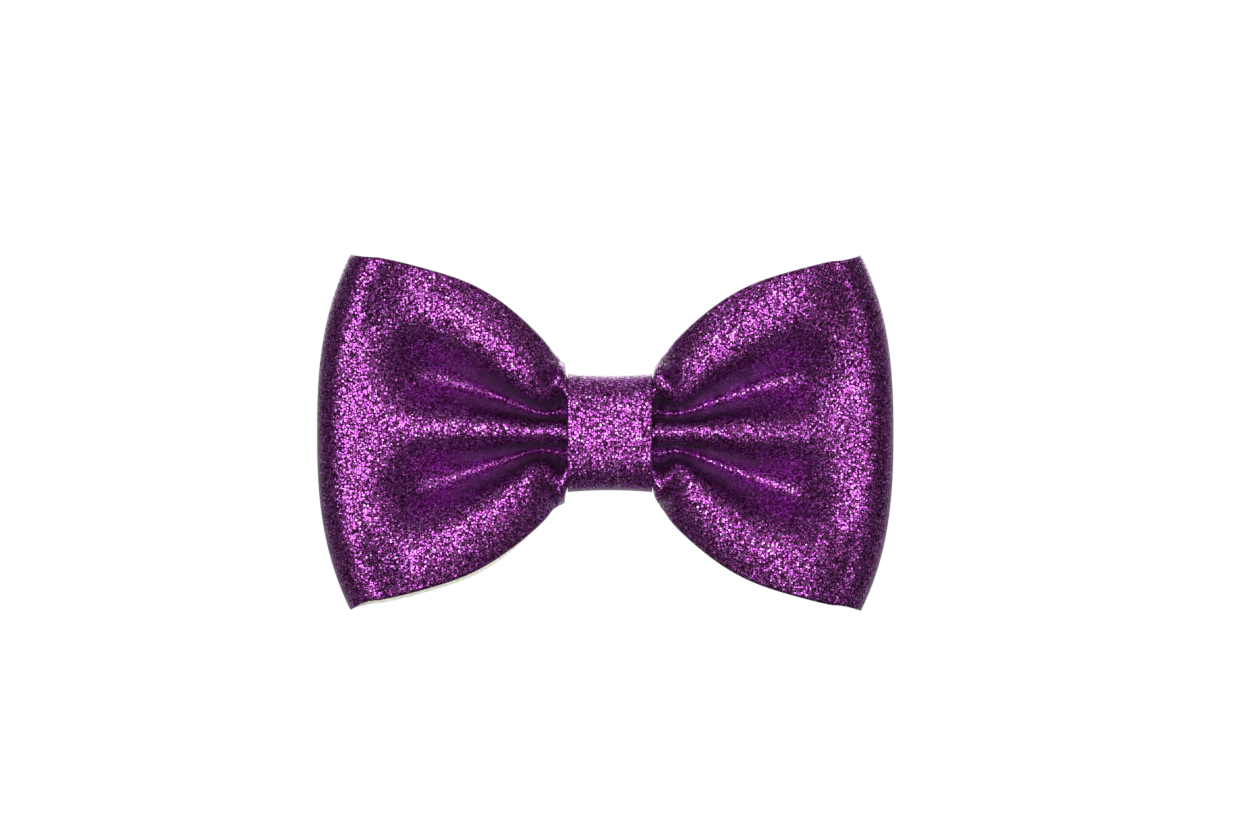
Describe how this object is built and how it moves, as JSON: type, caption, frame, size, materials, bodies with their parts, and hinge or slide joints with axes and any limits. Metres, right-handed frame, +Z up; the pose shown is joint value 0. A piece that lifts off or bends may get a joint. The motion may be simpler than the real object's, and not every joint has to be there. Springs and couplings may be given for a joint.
{
  "type": "hair bow",
  "caption": "Pinched hair bow folded from one strip of purple glitter faux leather, with a wrapped centre band and a sprung toothed hair clip on its back.",
  "frame": {"origin": "middle of the clip's gripping gap, on the plane between the clip's plate and its toothed jaw", "axes": "+X along the bow's width and the way the clip's mouth opens, +Y out of the bow's back, +Z up as worn, so the glitter front faces -Y"},
  "size_m": [0.122, 0.0285, 0.0753],
  "materials": {
    "glitter_faux_leather": "purple glitter flakes under clear binder, pale woven backing",
    "hot_melt": "milky hot-melt glue",
    "thread": "waxed purple thread",
    "clip_steel": "nickel-plated sheet steel",
    "spring_steel": "drawn spring wire"
  },
  "bodies": {
    "bow": {"bow_loop": "glitter_faux_leather", "centre_band": "glitter_faux_leather", "band_glue": "hot_melt", "binding_thread": "thread", "clip_glue": "hot_melt", "clip_top_plate": "clip_steel", "clip_hinge_pin": "clip_steel", "clip_spring": "spring_steel"},
    "clip_jaw": {"clip_toothed_jaw": "clip_steel"}
  },
  "joints": [
    {"name": "clip_hinge", "type": "hinge", "parent": "bow", "child": "clip_jaw", "pos_m": [-0.013, 0.001, 0], "axis": [0, 0, 1], "range_deg": [0, 28], "stiffness_Nm_per_rad": 0.08, "springref_deg": -28.65, "deforming": ["clip_spring"]}
  ]
}
